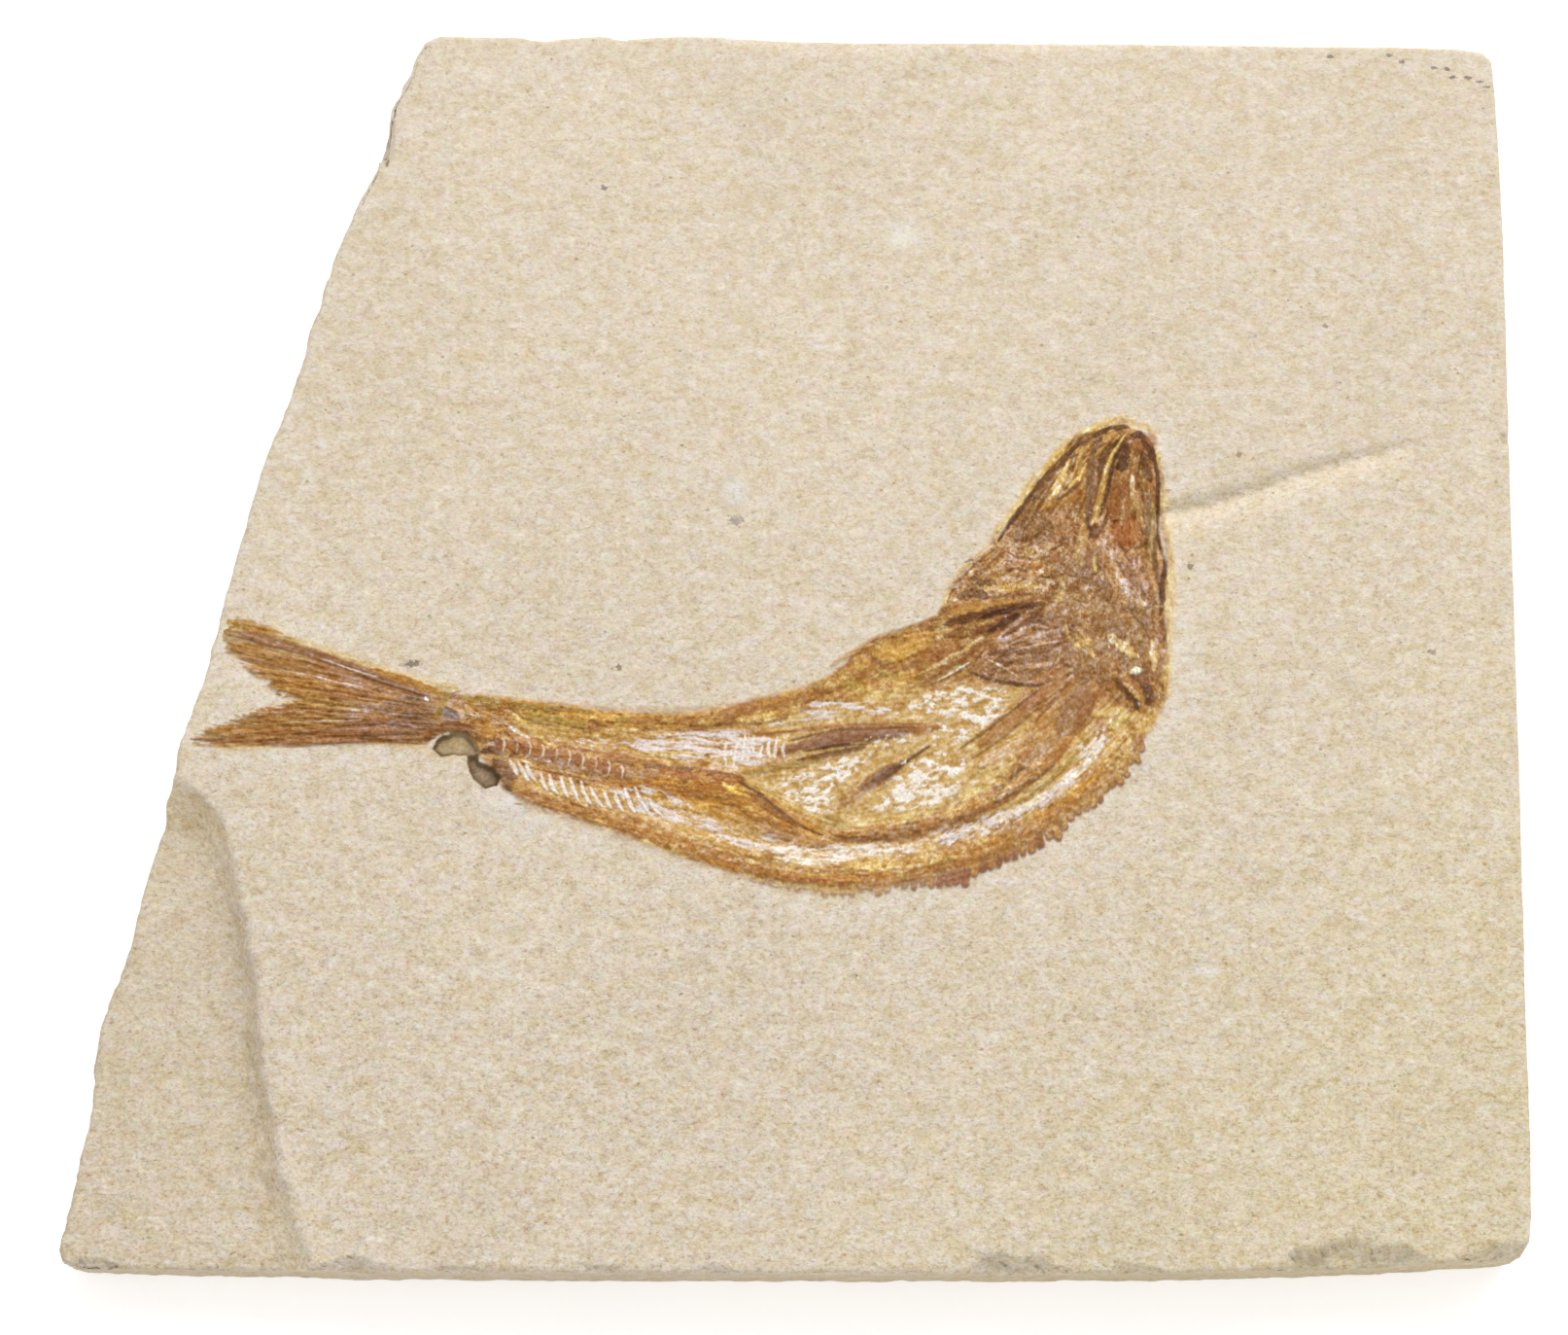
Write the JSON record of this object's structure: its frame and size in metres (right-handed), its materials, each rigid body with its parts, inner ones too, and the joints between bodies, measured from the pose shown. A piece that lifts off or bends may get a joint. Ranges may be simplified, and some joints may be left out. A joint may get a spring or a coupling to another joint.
{
  "type": "fossil fish slab",
  "caption": "Saw-cut limestone slab with a naturally broken, stepped left side and a curved fossil fish in low relief on its face.",
  "frame": {"origin": "middle of the slab's outline, on its underside", "axes": "+Z out of the face that carries the fish, +X along the front edge towards the end that the fish's head is nearer, +Y towards the back edge that the snout points to"},
  "size_m": [0.1008, 0.087, 0.01],
  "materials": {
    "limestone": "matt fine-grained beige limestone with ochre and grey mottling",
    "fossil_bone": "varnished brown and amber mineralised bone with pale patches"
  },
  "bodies": {
    "root": {"limestone_slab": "limestone", "fossil_fish": "fossil_bone"}
  },
  "joints": []
}
